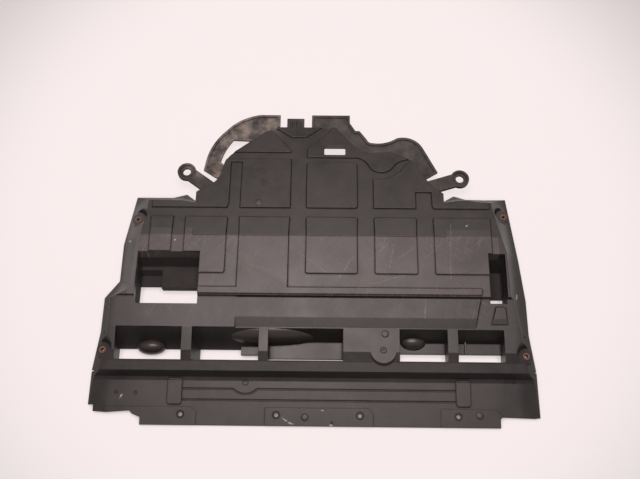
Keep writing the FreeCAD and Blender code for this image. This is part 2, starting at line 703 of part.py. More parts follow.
def make_arm(side, ring_x, ring_y, root_x, root_y):
    """Flat arm from the dome's foot to a ring, with a round dish in the ring."""
    bottom = "arm_height - arm_thickness"
    run = f"sqrt(({ring_x} - ({root_x}))^2 + ({ring_y} - ({root_y}))^2)"
    across_x = f"arm_width / 2 * ({ring_y} - ({root_y})) / {run}"
    across_y = f"arm_width / 2 * ({ring_x} - ({root_x})) / {run}"
    bar = upright(side + "_arm_bar", [
        (f"{root_x} - {across_x}", f"{root_y} + {across_y}"),
        (f"{root_x} + {across_x}", f"{root_y} - {across_y}"),
        (f"{ring_x} + {across_x}", f"{ring_y} - {across_y}"),
        (f"{ring_x} - {across_x}", f"{ring_y} + {across_y}"),
    ], bottom, "arm_thickness")
    ring = cylinder(side + "_ring", ring_x, ring_y, bottom, "ring_diameter / 2", "arm_thickness")
    dish = cylinder(side + "_ring_dish", ring_x, ring_y, "arm_height - dish_depth",
                    "ring_dish / 2", "dish_depth + 5")
    hole = cylinder(side + "_ring_hole", ring_x, ring_y, f"{bottom} - 5", "ring_hole / 2",
                    "arm_thickness + 10")
    return joined(side + "_arm", [bar, ring]), [dish, hole]


# Vents and pockets: a void through the panel, and walls that line it

def lined_void(name, corners, left, right):
    """Void with the given side view, and the block a wall larger that lines it."""
    void = across(name + "_void", corners, left, f"({right}) - ({left})")
    lining = resized(name + "_lining", void, "wall", before="wall", after="wall")
    return void, lining


def vent_section(foot_y, foot_height="duct_bottom + 2", ledge_y=None):
    """Side view of a vent: open below in front of the foot, with a steep wall behind it."""
    top = f"ridge_level + {CLEAR}"
    ledge = [(f"-{ledge_y}", f"{foot_height} + 2")] if ledge_y else []
    return [
        ("-vent_front_y", f"-{CLEAR}"),
        (f"-{foot_y}", f"-{CLEAR}"),
        (f"-{foot_y}", foot_height),
    ] + ledge + [
        ("-vent_rear_y", "front_crease_height"),
        ("-vent_rear_y", top),
        ("-vent_front_y", top),
    ]


def pocket_section(front_y, shelf_front_y, shelf_rear_y, shelf_height):
    """Side view of a pocket: open below in front of the shelf, and sloping behind it."""
    top = f"ridge_level + {CLEAR}"
    return [
        (f"-{front_y}", f"-{CLEAR}"),
        (f"-{shelf_front_y}", f"-{CLEAR}"),
        (f"-{shelf_front_y}", shelf_height),
        (f"-{shelf_rear_y}", shelf_height),
        ("-pocket_rear_y", "deck_height"),
        ("-pocket_rear_y", top),
        (f"-{front_y}", top),
    ]


def make_ducts():
    """Voids and linings of the five vents and the two deep pockets."""
    plain = vent_section("vent_foot_y")
    ledged = vent_section("ledge_front_y", "ledge_height - 2", "ledge_rear_y")
    deep_ledge = vent_section("wide_ledge_front_y", "ledge_height - 2", "ledge_rear_y")
    left_low = pocket_section("pocket_front_y", "low_shelf_front_y", "low_shelf_rear_y",
                              "low_shelf_height")
    left_high = pocket_section("pocket_front_y", "left_shelf_front_y", "left_shelf_rear_y",
                               "left_shelf_height")
    right_deep = pocket_section("right_pocket_front_y", "right_shelf_front_y",
                                "right_shelf_rear_y", "right_shelf_height")
    spaces = [
        ("vent_1", plain, "-vent_1_outer_x", "-vent_1_inner_x"),
        ("vent_2", plain, "-vent_2_outer_x", "-vent_2_inner_x"),
        ("vent_3", deep_ledge, "-vent_3_left_x", "vent_3_right_x"),
        ("vent_4", ledged, "vent_4_inner_x", "vent_4_outer_x"),
        ("vent_5", ledged, "vent_5_inner_x", "vent_5_outer_x"),
        ("left_pocket", left_high, "-left_pocket_outer_x", "-left_pocket_inner_x"),
        ("left_pocket_side", left_low, "-left_pocket_outer_x", "-left_shelf_x"),
        ("right_pocket", right_deep, "right_pocket_inner_x", "right_pocket_outer_x"),
    ]
    pairs = [lined_void(*space) for space in spaces]
    return [pair[0] for pair in pairs], [pair[1] for pair in pairs]


def make_vent_forms(lining):
    """A small ledge in the second vent, and a drafted cheek along its outer wall."""
    ledge = upright("small_ledge", rectangle("-small_ledge_x", "-small_ledge_front_y",
                                             "-vent_2_inner_x + 1", "-vent_rear_y"),
                    "duct_bottom", "ledge_height - duct_bottom")
    outer_wall = "-vent_2_outer_x - 1"
    cheek = prism("vent_cheek", "XZ_Plane", [
        (outer_wall, "duct_bottom"),
        (f"{outer_wall} + cheek_width", "duct_bottom"),
        (outer_wall, "rib_crease_height"),
    ], "vent_rear_y", "vent_front_y - vent_rear_y + 1")
    return shared("vent_forms", [joined("loose_vent_forms", [ledge, cheek]), lining])


def make_window():
    """Rectangular hole in the rear field with a skirt below it."""
    corners = rectangle("window_left_x", "window_front_y", "window_right_x", "window_rear_y")
    void = upright("window_void", corners, "dome_skirt", rounding="corner_radius / 2")
    lining = resized("window_lining", void, "wall")
    above = upright("above_window_skirt", rectangle("-half_width", "0", "half_width", "rear_reach"),
                    "dome_height - window_skirt + 4")
    return void, lining, above


# Bolt seats and their metal inserts

BOLTS = {
    "rear_left": ("-rear_left_bolt_x", "rear_left_bolt_y"),
    "rear_right": ("rear_right_bolt_x", "rear_right_bolt_y"),
    "front_left": ("-front_left_bolt_x", "-front_left_bolt_y"),
    "front_right": ("front_right_bolt_x", "-front_right_bolt_y"),
}


def make_bolt_seat(corner, x, y):
    """Recess into the flange with a drafted wall, and the boss that holds the insert."""
    depth = "(ridge_level - seat_height + 10)"
    spread = f"{depth} * recess_draft"
    recess = cone(corner + "_recess", x, y, "seat_height", "recess_radius",
                  f"recess_radius + {spread}", depth)
    lining = cone(corner + "_recess_lining", x, y, "seat_height - wall", "recess_radius + wall",
                  f"recess_radius + wall + {spread}", f"{depth} + wall")
    boss = cylinder(corner + "_boss", x, y, "seat_height - seat_depth", "seat_radius", "seat_depth")
    bore = cylinder(corner + "_insert_bore", x, y, "0", "insert_diameter / 2", "seat_height + 5")
    return recess, lining, boss, bore


def make_insert(corner, x, y):
    """Metal compression sleeve, turned from its half section."""
    name = "insert_" + corner
    body = doc.addObject("PartDesign::Body", name)
    sketch = new_sketch(body, name + "_section", "XZ_Plane", [
        ("insert_hole / 2", "0"),
        ("insert_diameter / 2", "0"),
        ("insert_diameter / 2", "insert_length"),
        ("insert_hole / 2", "insert_length"),
    ])
    turned = body.newObject("PartDesign::Revolution", name + "_turned")
    turned.Profile = sketch
    turned.ReferenceAxis = (sketch, ["V_Axis"])
    turned.Angle = 360
    place(body, x, y, "seat_height + 1 - insert_length")
    return body


# Small forms and holes

def make_tongue():
    """Tongue that carries the bridge between the vents on over the sill, hollow below."""
    bottom = "tongue_height - tongue_depth"
    outside = upright("tongue", [
        ("tongue_x - tongue_foot", "-tongue_y", f"tongue_foot * {EIGHTH}", OUT),
        ("tongue_x", "-tongue_y - tongue_foot", f"tongue_foot * {EIGHTH}", OUT),
        ("tongue_x + tongue_foot", "-tongue_y"),
        ("tongue_x + tongue_foot", "-front_crease_y - 20"),
        ("tongue_x - tongue_foot", "-front_crease_y - 20"),
    ], bottom, "tongue_depth", draft="tongue_draft")
    return outside, resized("tongue_inside", outside, "-4 * wall", before="wall", after="-wall")


def make_grooves(panel):
    """Two grooves along the front lip, the rear one bent in front of a pin hole."""
    left = "-strap_left_x + strap_width / 2"
    right = "strap_right_x - strap_width / 2"
    half = "groove_width / 2"
    bend_left = "-groove_bend_x - groove_bend_back"
    bend_right = "-groove_bend_x + groove_bend_back"
    spans = [
        ("front_groove", "front_groove_y", left, right),
        ("rear_groove_left", "rear_groove_y", left, bend_left),
        ("rear_groove_right", "rear_groove_y", bend_right, right),
    ]
    grooves = []
    for name, middle, start, end in spans:
        bar = rectangle(start, f"-{middle} - {half}", end, f"-{middle} + {half}")
        grooves.append(upright(name, bar))
    centre_y = "-rear_groove_y + groove_bend_back"
    ring = cylinder("bend_outside", "-groove_bend_x", centre_y, "0", f"groove_bend + {half}",
                    "ridge_level")
    core = cylinder("bend_core", "-groove_bend_x", centre_y, "-5", f"groove_bend - {half}",
                    "ridge_level + 10")
    front = upright("bend_front", rectangle(bend_left, "-front_groove_y", bend_right,
                                            f"-rear_groove_y + {half}"))
    bend = shared("groove_bend_arc", [removed("bend_ring", ring, core), front])
    kept = resized("groove_floor", panel, "-groove_depth")
    return removed("grooves", joined("groove_lines", grooves + [bend]), kept)


def make_corner_cuts():
    """Steps at both ends of the front edge and a nick where each flange meets the lip."""
    far = "half_width + 30"
    edge = "-front_reach - 30"
    step = "-front_reach + corner_step"
    return [
        upright("left_corner_cut", [
            (f"-({far})", edge),
            ("-left_corner_step_x", edge),
            ("-left_corner_step_x", f"{step} - 10"),
            ("-left_corner_step_x - 18", f"{step} - 3"),
            ("-left_corner_step_x - 24", f"{step} + 4"),
            ("-left_corner_step_x - 76", step),
            ("-left_corner_step_x - 105", f"{step} + 2"),
            ("-left_corner_step_x - 105", f"{step} + 16"),
            (f"-({far})", f"{step} + 20"),
        ], f"-{CLEAR}"),
        upright("right_corner_cut", [
            ("right_corner_step_x", edge),
            (far, edge),
            (far, f"{step} + 2"),
            ("right_corner_step_x + 76", f"{step} - 5"),
            ("right_corner_step_x + 4", f"{step} - 3"),
            ("right_corner_step_x", f"{step} - 8"),
        ], f"-{CLEAR}"),
        upright("left_nick", rectangle(f"-({far})", "-flange_front_y - 6",
                                       "-half_width + 9", "-flange_front_y - 2"), f"-{CLEAR}"),
        upright("right_nick", rectangle("half_width - 6", "-flange_front_y", far,
                                        "-flange_front_y + 3"), f"-{CLEAR}"),
    ]


def make_holes():
    """Through holes for the fixings and pins, and the slit beside the winding lip."""
    holes = []
    lip_holes = {"a": "-lip_hole_a_x", "b": "-lip_hole_b_x", "c": "lip_hole_c_x",
                 "d": "lip_hole_d_x"}
    for letter, x in lip_holes.items():
        holes.append(cylinder("lip_hole_" + letter, x, "-front_reach + lip_hole_inset", f"-{CLEAR}",
                              "lip_hole / 2", f"ridge_level + {CLEAR}"))
    pins = {
        "flange_left": ("-flange_pin_x", "-flange_pin_y"),
        "flange_right": ("flange_pin_x", "-flange_pin_y"),
        "flange_rear": ("-rear_pin_x", "rear_pin_y"),
        "groove": ("-groove_bend_x", "-rear_groove_y + pin_hole * 3"),
        "tongue": ("tongue_x", "-tongue_y"),
    }
    for name, (x, y) in pins.items():
        holes.append(cylinder("pin_hole_" + name, x, y, f"-{CLEAR}", "pin_hole / 2",
                              f"ridge_level + 2 * {CLEAR}"))
    slit = rectangle("slit_left_x", "slit_y - slit_width / 2", "slit_right_x",
                     "slit_y + slit_width / 2")
    holes.append(upright("seal_slit", slit))
    return holes


def make_shell():
    """The whole moulding, joined and cut down to its final shape."""
    outer, inner, panel, dome = make_forms()
    seals, dishes = make_seals(dome)
    left_arm, left_cuts = make_arm("left", "-left_ring_x", "left_ring_y", "-left_root_x",
                                   "left_root_y")
    right_arm, right_cuts = make_arm("right", "right_ring_x", "right_ring_y", "right_root_x",
                                     "right_root_y")
    tongue, tongue_inside = make_tongue()
    skin = removed("skin", joined("skin_outside", [outer, tongue, left_arm, right_arm] + seals),
                   joined("skin_inside", [inner, tongue_inside]))

    voids, linings = make_ducts()
    window, window_lining, above_skirt = make_window()
    seats = [make_bolt_seat(corner, *point) for corner, point in BOLTS.items()]
    above_ground = upright("above_ground", rectangle("-half_width", "-front_reach", "half_width",
                                                     "rear_reach"), "duct_bottom")
    lining = shared("linings", [joined("all_linings", linings + [seat[1] for seat in seats]),
                                outer, above_ground])
    skirt = shared("window_skirt_wall", [window_lining, outer, above_skirt])
    walls = joined("skin_and_linings", [skin, lining, skirt] + [seat[2] for seat in seats])

    cuts = voids + [window] + left_cuts + right_cuts + dishes + make_corner_cuts() + make_holes()
    cuts += [seat[0] for seat in seats] + [seat[3] for seat in seats] + [make_grooves(panel)]
    pierced = removed("pierced_walls", walls, joined("openings", cuts))
    shell = joined("guard_shell", [pierced, make_vent_forms(linings[1])])
    shell.Label = "guard_shell"
    return shell


def check_document():
    """Stops if anything in the document failed to build."""
    for item in doc.Objects:
        if "Invalid" in item.State or "Error" in item.State:
            raise RuntimeError(f"{item.Name} failed: {item.State}")


def write_part(piece):
    shape = piece.Shape
    if shape.isNull() or not shape.isValid():
        raise RuntimeError(f"{piece.Label} has no valid shape")
    shape.exportStep(os.path.join("parts", piece.Label + ".step"))
    box = shape.BoundBox
    print(piece.Label, len(shape.Solids), round(shape.Volume), len(shape.Faces),
          [round(value, 1) for value in (box.XMin, box.XMax, box.YMin, box.YMax, box.ZMin, box.ZMax)])


fill_sheet()
pieces = [make_shell()]
for corner, point in BOLTS.items():
    pieces.append(make_insert(corner, *point))
doc.recompute()
check_document()
os.makedirs("parts", exist_ok=True)
for piece in pieces:
    write_part(piece)
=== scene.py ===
import math

import bmesh
import bpy
from mathutils import Matrix, Vector


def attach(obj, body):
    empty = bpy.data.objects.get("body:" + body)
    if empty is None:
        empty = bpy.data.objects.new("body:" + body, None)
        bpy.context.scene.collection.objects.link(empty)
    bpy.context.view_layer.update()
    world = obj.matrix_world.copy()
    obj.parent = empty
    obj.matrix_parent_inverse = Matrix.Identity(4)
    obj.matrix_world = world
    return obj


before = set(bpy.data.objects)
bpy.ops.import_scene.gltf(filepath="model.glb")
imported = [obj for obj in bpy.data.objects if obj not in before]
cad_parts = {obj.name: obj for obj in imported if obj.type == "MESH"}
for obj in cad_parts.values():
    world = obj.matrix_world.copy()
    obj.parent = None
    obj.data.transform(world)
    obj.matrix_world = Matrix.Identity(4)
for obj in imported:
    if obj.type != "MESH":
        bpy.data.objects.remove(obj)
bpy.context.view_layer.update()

# Camera in the part's own frame: metres, degrees, and millimetres for lens and sensor
CAMERA_PLACE = Vector((0.0293, -0.6602, 1.7791))
CAMERA_DOWN = 68.0
CAMERA_HEADING = 1.5
CAMERA_ROLL = -0.9
CAMERA_LENS = 45.0
CAMERA_SENSOR = 36.0

# Floor: pale near the part, darker from FLOOR_NEAR to FLOOR_FAR away from its middle, a painted
# fall-off of light.
# Where the camera or a reflection sees it, it glows, and the lamps light only a small share of its
# colour.
FLOOR_HALF = 6.0
FLOOR_COLOR = (0.90, 0.82, 0.815, 1)
FLOOR_FAR_PAINTED_SHADE_COLOR = (0.50, 0.455, 0.468, 1)
FLOOR_MIDDLE = (0, 0.12, 0)
FLOOR_NEAR = 0.68
FLOOR_FAR = 1.35
FLOOR_ROUGHNESS = 0.75
FLOOR_GLOW = 0.90
FLOOR_UNLIT = 0.86

# Contact shade on the floor close to the part: how far it reaches, and the colour that it leaves
CONTACT_REACH = 0.014
CONTACT_DARK = 0.10

# Light: an even sky and one large soft box overhead
SKY_COLOR = (1.0, 0.93, 0.92, 1)
SKY_LEVEL = 0.27
LAMP_COLOR = (1.0, 0.87, 0.86)
LAMP_PLACE = (-0.05, 0.36, 2.5)
LAMP_AIM = (-0.05, 0.34, 0)
LAMP_WIDTH = 1.6
LAMP_DEPTH = 1.2
LAMP_POWER = 49

# Colours of the finishes
BLACK = (0, 0, 0, 1)
PLASTIC_DARK = (0.017, 0.0147, 0.0147, 1)
PLASTIC_PALE = (0.025, 0.0216, 0.0216, 1)
PLASTIC_WORN = (0.085, 0.071, 0.069, 1)
# Near-black painted shade for the grooves and the rings round the fixing places, also used for the
# ejector marks
DARK_MARK_AND_PAINTED_SHADE_COLOR = (0.006, 0.005, 0.005, 1)
SCRATCH_COLOR = (0.21, 0.19, 0.185, 1)
SCRAPE_COLOR = (0.34, 0.30, 0.29, 1)
FLECK_COLOR = (0.62, 0.58, 0.50, 1)
# Pale colour of the edges: wear on the rubbed edges and painted highlight along the fillets
EDGE_WEAR_AND_HIGHLIGHT_COLOR = (0.16, 0.145, 0.14, 1)
DUST_COLOR = (0.34, 0.285, 0.24, 1)
RUST_DARK = (0.060, 0.030, 0.020, 1)
RUST_LIGHT = (0.24, 0.125, 0.075, 1)
STEEL_COLOR = (0.33, 0.31, 0.30, 1)

# How strongly each kind of mark, painted shade and painted highlight covers the plastic
SCRATCH_STRENGTH = 0.5
SCRAPE_STRENGTH = 0.42
FLECK_STRENGTH = 0.9
RING_STRENGTH = 0.9
PAINTED_CREVICE_SHADE_STRENGTH = 0.8
EDGE_WEAR_AND_HIGHLIGHT_STRENGTH = 0.35

# Fine scratches: the share that lies everywhere, on the scuffed middle and on the band before it
SCRATCHES_EVERYWHERE = 0.08
SCRATCHES_SCUFFED = 1.0
SCRATCHES_BAND = 0.6

# Pale haze on the scuffed middle, from its clearest to its palest swirls, and at the lip
HAZE_SCUFFED = (0.36, 0.68)
HAZE_LIP = 0.26

# The plastic's roughness from its darkest to its palest clouds, and what is added by place or mark
PLASTIC_ROUGHNESS = (0.36, 0.46)
ROUGHER_OUTSIDE = 0.34
ROUGHER_POCKETS = 0.4
ROUGHER_FLANGES = 0.25
ROUGHER_MARKS_AND_PAINTED_SHADE = 0.3
ROUGHER_DUST = 0.45
ROUGHER_SCRATCHES = 0.12

# Relief of the plastic: grains in a metre, how deep the scratches cut, and the bump's two measures
PLASTIC_GRAIN = 1100.0
SCRATCH_DEPTH = -0.8
PLASTIC_BUMP = 0.22
PLASTIC_BUMP_HEIGHT = 0.0004
PLASTIC_IOR = 1.5

# Steel: the share under rust, flakes in a metre, the roughness of bare steel and what rust adds
RUST_COVER = 0.72
RUST_FLAKES = 420.0
STEEL_ROUGHNESS = 0.45
ROUGHER_RUST = 0.4
STEEL_EDGE_STRENGTH = 0.5
STEEL_GRAIN = 1600.0
STEEL_BUMP = 0.5
STEEL_BUMP_HEIGHT = 0.0003

# Widths of the edges that carry wear and a painted highlight, and how near two faces stand where
# shade is painted into a crevice
PLASTIC_EDGE = 0.0018
STEEL_EDGE = 0.0006
PAINTED_CREVICE_SHADE_REACH = 0.005

# The plastic finishes: haze all over, and the change in roughness. The vents' finish is a paler copy
# whose haze all over is partly dust and partly painted light, lifting the pieces in the vents' shade
PLASTICS = {
    "moulded_plastic": (0.0, 0.0),
    "vent_plastic_painted_light": (0.35, -0.08),
}

# Zones of the moulding: centre, reach to each side of it, and how far the zone fades out
ZONES = {
    "scuffed": ((0, -0.034, 0.075), (0.42, 0.0715, 0.02), 0.003),
    "band": ((0, -0.132, 0.06), (0.4, 0.018, 0.02), 0.01),
    "lip": ((0, -0.36, 0.0), (0.38, 0.06, 0.012), 0.06),
    "left_seal": ((-0.2, 0.3, 0.02), (0.11, 0.09, 0.02), 0.02),
    "right_seal": ((0.13, 0.3, 0.02), (0.18, 0.09, 0.014), 0.02),
    "flange_rear": ((0, 0.2, 0.0), (0.5, 0.045, 0.035), 0.03),
    "front_lip": ((0, -0.34, 0.0), (0.47, 0.05, 0.02), 0.03),
    "left_arm": ((-0.3, 0.2, 0.035), (0.035, 0.035, 0.012), 0.02),
    "inner": ((0, 0, 0.075), (0.43, 0.6, 0.1), 0.05),
    "left_pocket": ((-0.334, -0.06, 0.02), (0.072, 0.055, 0.03), 0.004),
    "right_pocket": ((0.415, -0.06, 0.02), (0.02, 0.055, 0.03), 0.004),
}

# Share of dust in the zones that have some, and on all the rest
DUSTY_ZONES = {
    "left_seal": 1.0,
    "left_arm": 0.16,
    "right_seal": 0.22,
    "flange_rear": 0.22,
    "front_lip": 0.05,
}
DUST_EVERYWHERE = 0.04

# Streaks of the fine scratches: turn in degrees, streaks per metre lengthwise, and how rare they are
STREAKS = [(41, 12.0, 0.61), (-27, 14.0, 0.61), (74, 12.0, 0.60), (118, 15.0, 0.62)]
STREAKS_ACROSS = 420.0
STREAK_EDGE = 0.06

# Single scrapes on the panel: where each starts and ends, and its width, in metres
SCRAPES = [
    ((0.1533, 0.0039), (0.1720, 0.0237), 0.0016),
    ((0.1730, -0.0349), (0.1857, 0.0214), 0.0016),
    ((0.1917, -0.0129), (0.2336, 0.0169), 0.0014),
    ((0.0597, -0.0576), (0.0915, -0.0089), 0.0016),
    ((0.3180, 0.0750), (0.3113, -0.0575), 0.0014),
    ((0.1070, -0.0802), (0.2090, -0.0506), 0.0014),
    ((0.2532, -0.1009), (0.2513, -0.1500), 0.0018),
    ((-0.0341, 0.0021), (0.0348, -0.0506), 0.001),
    ((0.0687, 0.0203), (0.0165, -0.0267), 0.001),
    ((-0.1473, -0.0282), (-0.0898, -0.0470), 0.001),
    ((-0.0635, -0.3630), (-0.0413, -0.3758), 0.0016),
]

# Pale flecks and bare spots, in the same form
FLECKS = [
    ((-0.4353, 0.0444), (-0.4336, 0.0424), 0.004),
    ((0.4615, -0.0981), (0.4654, -0.0875), 0.004),
    ((-0.4248, -0.3241), (-0.4204, -0.3176), 0.0028),
    ((0.0219, -0.3460), (0.0262, -0.3455), 0.0026),
    ((0.3533, 0.0693), (0.3557, 0.0713), 0.003),
    ((-0.3192, 0.0291), (-0.3175, 0.0306), 0.0026),
    ((-0.0635, -0.3630), (-0.0524, -0.3694), 0.0026),
    ((-0.0501, -0.3716), (-0.0413, -0.3758), 0.0022),
    ((0.0440, -0.3792), (0.0462, -0.3805), 0.0045),
]

# A scrape's waver, and the waves and gaps that it has per metre
WAVER_REACH = (0.008, 0.008, 0)
WAVER_SCALE = 45.0
GAP_SCALE = 240.0

# Dark rings in the colour of painted shade round the fixing places, standing for the shade in the
# recesses round their holes, and faint ejector marks: centre, radius and width
RINGS = [
    ((-0.292, -0.361), 0.0075, 0.0028),
    ((-0.081, -0.361), 0.0075, 0.0028),
    ((0.103, -0.361), 0.0075, 0.0028),
    ((0.319, -0.361), 0.0075, 0.0028),
    ((0.041, -0.376), 0.0020, 0.0022),
    ((-0.124, 0.178), 0.0020, 0.0022),
    ((0.443, -0.286), 0.0020, 0.0026),
    ((0.154, -0.226), 0.0062, 0.0018),
    ((-0.151, -0.291), 0.0062, 0.0018),
    ((-0.437, -0.315), 0.0030, 0.0024),
    ((-0.394, -0.315), 0.0030, 0.0024),
    ((-0.124, 0.178), 0.0085, 0.0012),
]

# Small round forms on the surface: place, radius and height
STUDS = [
    ((-0.018, -0.365), 0.0085, 0.0028),
    ((0.366, -0.358), 0.0085, 0.0020),
    ((-0.138, 0.212), 0.004, 0.002),
    ((-0.134, 0.124), 0.0075, 0.0007),
    ((0.158, -0.189), 0.0085, 0.0012),
]

# A stud's rings from its crown down: share of its radius and of its height, then its sunk foot
STUD_CROWN = [(0.5, 0.95), (0.8, 0.75), (0.95, 0.4), (1.0, 0.0)]
STUD_FOOT = -0.0008
STUD_SIDES = 32

# Blind bottoms of two pin marks: place, and how deep they lie
PIN_BOTTOMS = [((0.1540, -0.2260), 0.0028), ((-0.1510, -0.2910), 0.0026)]
PIN_RADIUS = 0.0033
PIN_SIDES = 24

# Low rib on the ledge of the right-hand vent: its lowest corner and its size
VENT_RIB = ((0.3385, -0.2225, 0.0145), (0.003, 0.026, 0.010))

# Smooth bulges that show in the vents: centre, radii, and the lowest and the rearmost place kept
BULGES = {
    "vent_bulge_middle": ((-0.104, -0.178, 0.011), (0.130, 0.030, 0.048), 0.012, -0.178),
    "vent_bulge_left": ((-0.367, -0.213, 0.012), (0.032, 0.017, 0.022), 0.008, None),
    "vent_bulge_right": ((0.223, -0.197, 0.013), (0.029, 0.018, 0.019), 0.010, None),
}
BULGE_RINGS = 32

# Directions, and a height above the whole part
DOWN = (0, 0, -1)
REARWARD = (0, 1, 0)
ABOVE_ALL = 0.3

# A Mix node's sockets for two colours and for what they make
MIX_FIRST = 6
MIX_SECOND = 7
MIX_RESULT = 2


# Building shader trees

def connect(tree, socket, value):
    """Link the socket to another one, or set it to a plain value."""
    if isinstance(value, bpy.types.NodeSocket):
        tree.links.new(value, socket)
    else:
        socket.default_value = value


def add(tree, kind, settings=None, **inputs):
    """New node. An input given as a socket is linked, any other value is set."""
    node = tree.nodes.new(kind)
    for name, value in (settings or {}).items():
        setattr(node, name, value)
    for name, value in inputs.items():
        connect(tree, node.inputs[name.replace("_", " ")], value)
    return node


def calc(tree, operation, *values):
    """Result of one step of arithmetic."""
    node = tree.nodes.new("ShaderNodeMath")
    node.operation = operation
    for socket, value in zip(node.inputs, values):
        connect(tree, socket, value)
    return node.outputs[0]


def calc_vector(tree, operation, *values):
    """Result of one step with vectors, which is a number for a length, distance or product."""
    node = tree.nodes.new("ShaderNodeVectorMath")
    node.operation = operation
    for socket, value in zip(node.inputs, values):
        connect(tree, socket, value)
    gives_number = operation in ("LENGTH", "DISTANCE", "DOT_PRODUCT")
    return node.outputs["Value" if gives_number else "Vector"]


def smooth_step(tree, value, low, high, start=0.0, end=1.0):
    """The value eased from start at low to end at high."""
    node = tree.nodes.new("ShaderNodeMapRange")
    node.interpolation_type = "SMOOTHSTEP"
    for socket, entry in zip(node.inputs, (value, low, high, start, end)):
        connect(tree, socket, entry)
    return node.outputs[0]


def mix_colors(tree, amount, first, second):
    """The first colour, with the second one laid over it by the amount."""
    node = tree.nodes.new("ShaderNodeMix")
    node.data_type = "RGBA"
    connect(tree, node.inputs["Factor"], amount)
    connect(tree, node.inputs[MIX_FIRST], first)
    connect(tree, node.inputs[MIX_SECOND], second)
    return node.outputs[MIX_RESULT]


def largest(tree, masks):
    """The strongest of several masks."""
    top = masks[0]
    for mask in masks[1:]:
        top = calc(tree, "MAXIMUM", top, mask)
    return top


def position_of(tree):
    """Place on the part of the point that is shaded."""
    return add(tree, "ShaderNodeNewGeometry").outputs["Position"]


def noise(tree, scale, detail, **more):
    """Cloudy pattern with so many clouds in a metre."""
    return add(tree, "ShaderNodeTexNoise", Vector=position_of(tree), Scale=scale, Detail=detail,
               **more).outputs["Fac"]


def new_group(name, inputs, outputs):
    """Empty effect with named sockets, each (name, type, default)."""
    tree = bpy.data.node_groups.new(name, "ShaderNodeTree")
    for label, kind, value in inputs:
        socket = tree.interface.new_socket(name=label, in_out="INPUT", socket_type=kind)
        socket.default_value = value
    for label, kind in outputs:
        tree.interface.new_socket(name=label, in_out="OUTPUT", socket_type=kind)
    source = tree.nodes.new("NodeGroupInput")
    result = tree.nodes.new("NodeGroupOutput")
    return tree, source.outputs, result.inputs


def use(tree, group, **inputs):
    """The effect placed in a tree, with its own values."""
    node = tree.nodes.new("ShaderNodeGroup")
    node.node_tree = group
    for name, value in inputs.items():
        connect(tree, node.inputs[name.replace("_", " ")], value)
    return node.outputs


def new_material(name):
    """Empty finish, its tree and its shader."""
    material = bpy.data.materials.new(name)
    material.use_nodes = True
    tree = material.node_tree
    return material, tree, tree.nodes["Principled BSDF"]


# Effects that the finishes share

def make_soft_place():
    """Mask that is 1 inside a box and fades out round it."""
    tree, source, result = new_group("soft_place", [
        ("Centre", "NodeSocketVector", (0, 0, 0)),
        ("Reach", "NodeSocketVector", (0.1, 0.1, 0.1)),
        ("Fade", "NodeSocketFloat", 0.02),
    ], [("Mask", "NodeSocketFloat")])
    away = calc_vector(tree, "SUBTRACT", position_of(tree), source["Centre"])
    over = calc_vector(tree, "SUBTRACT", calc_vector(tree, "ABSOLUTE", away), source["Reach"])
    outside = calc_vector(tree, "MAXIMUM", over, (0, 0, 0))
    distance = calc_vector(tree, "LENGTH", outside)
    mask = smooth_step(tree, distance, low=0.0, high=source["Fade"], start=1.0, end=0.0)
    connect(tree, result["Mask"], mask)
    return tree


def make_fine_grain():
    """Height of the fine moulded or cast texture of a surface."""
    tree, source, result = new_group("fine_grain", [
        ("Scale", "NodeSocketFloat", 900.0),
    ], [("Height", "NodeSocketFloat")])
    grains = noise(tree, scale=source["Scale"], detail=3.0)
    cells = add(tree, "ShaderNodeTexVoronoi", Vector=position_of(tree), Scale=source["Scale"])
    height = calc(tree, "MULTIPLY_ADD", cells.outputs["Distance"], 0.5, grains)
    connect(tree, result["Height"], height)
    return tree


def make_scratches():
    """Mask of long thin scratches that cross at several angles."""
    tree, source, result = new_group("scratches", [
        ("Density", "NodeSocketFloat", 0.5),
        ("Scale", "NodeSocketFloat", 1.0),
    ], [("Mask", "NodeSocketFloat")])
    total = 0.0
    for turn, lengthwise, rarity in STREAKS:
        # The texture kind of mapping turns before it stretches, so the streaks keep their angle
        mapping = add(tree, "ShaderNodeMapping", {"vector_type": "TEXTURE"},
                      Vector=position_of(tree), Rotation=(0, 0, math.radians(turn)),
                      Scale=(1 / lengthwise, 1 / STREAKS_ACROSS, 1 / lengthwise))
        streaks = add(tree, "ShaderNodeTexNoise", Vector=mapping.outputs[0],
                      Scale=source["Scale"], Detail=2.0, Distortion=0.15)
        line = smooth_step(tree, streaks.outputs["Fac"], low=rarity, high=rarity + STREAK_EDGE)
        total = calc(tree, "ADD", total, line)
    spread = smooth_step(tree, noise(tree, scale=14.0, detail=3.0), low=0.35, high=0.65)
    mask = calc(tree, "MULTIPLY", calc(tree, "MULTIPLY", total, spread), source["Density"])
    connect(tree, result["Mask"], calc(tree, "MINIMUM", mask, 1.0))
    return tree


